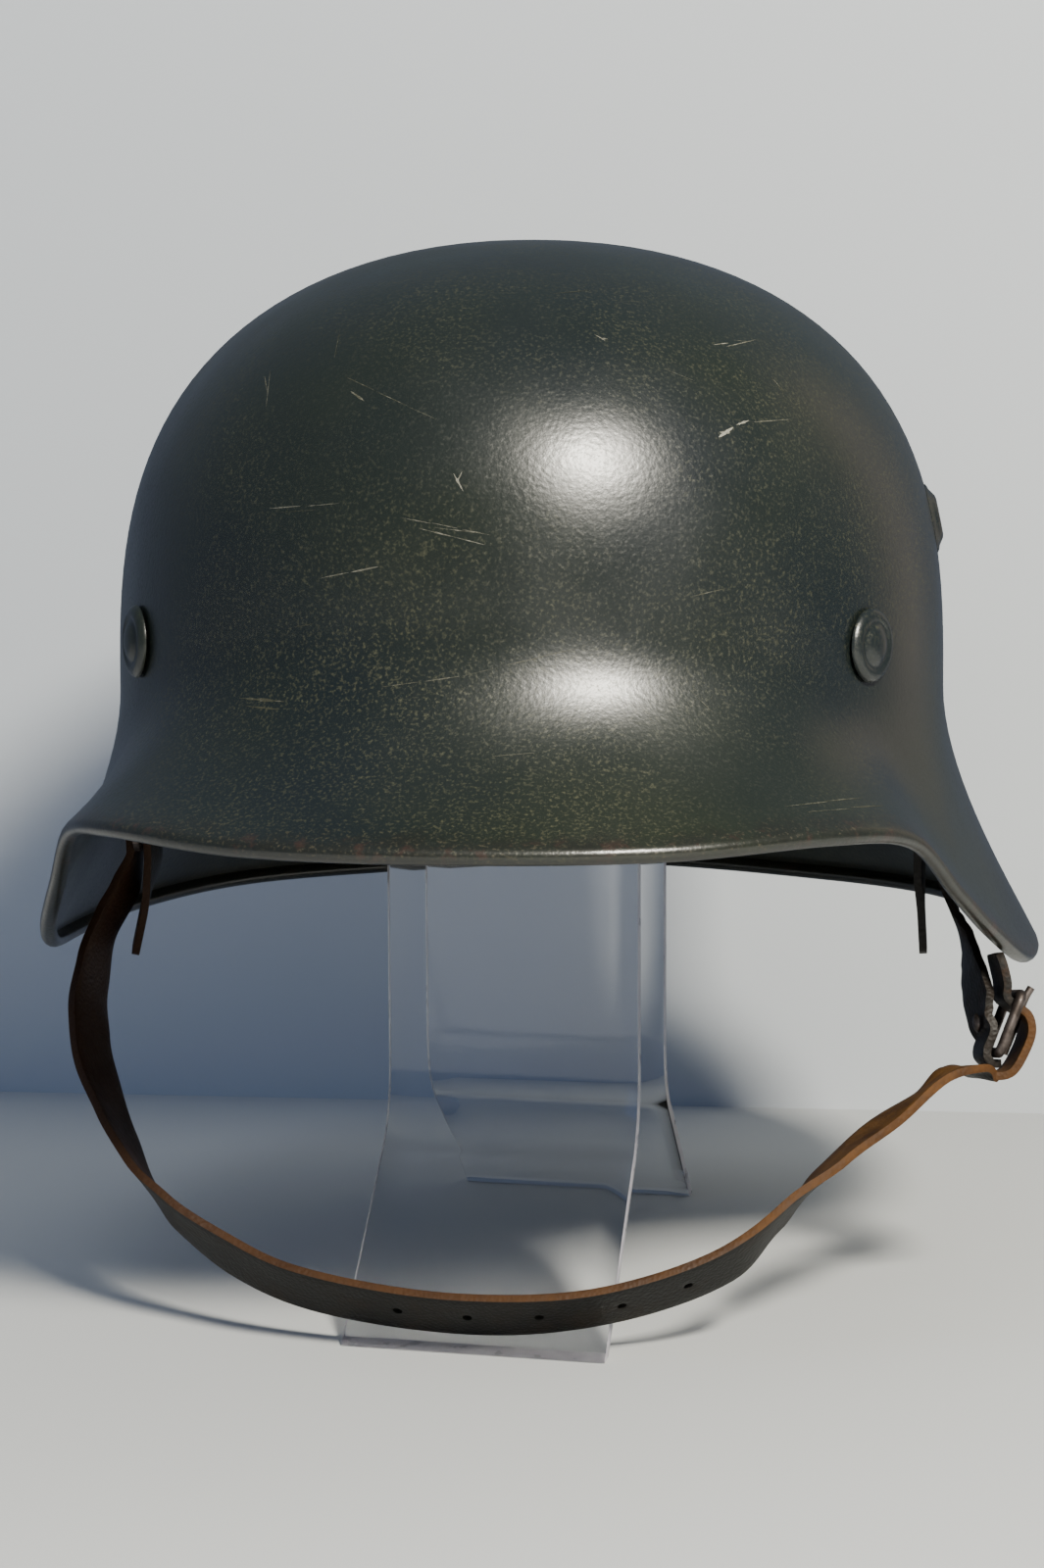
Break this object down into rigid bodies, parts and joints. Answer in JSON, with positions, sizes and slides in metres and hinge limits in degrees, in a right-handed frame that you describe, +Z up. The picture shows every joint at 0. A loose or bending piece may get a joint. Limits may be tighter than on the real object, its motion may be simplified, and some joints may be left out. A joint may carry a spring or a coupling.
{
  "type": "military steel helmet on a clear display stand",
  "caption": "Steel helmet with a short visor, flared sides, rolled rim, vents and rivets, a buckled leather chin strap, and a bent clear stand that holds it up.",
  "frame": {"origin": "middle of the whole footprint, on the surface that the stand's feet rest on", "axes": "+Z up, the visor faces -Y, +X is the wearer's left side"},
  "size_m": [0.2398, 0.2892, 0.2453],
  "materials": {
    "paint": "worn semi-gloss dark grey-green paint with fine speckle",
    "fittings": "dull, darkened steel",
    "leather": "old dark brown leather, blackened on its outer face",
    "clear_sheet": "clear, smooth acrylic"
  },
  "bodies": {
    "root": {"helmet_shell": "paint", "rivet_front_left": "paint", "rivet_front_right": "paint", "rivet_rear": "paint", "strap_hanger_left": "fittings", "strap_hanger_right": "fittings", "chin_strap_long": "leather", "chin_strap_short": "leather", "buckle_frame": "fittings", "buckle_prong": "fittings", "strap_stud": "fittings", "display_stand": "clear_sheet"}
  },
  "joints": []
}
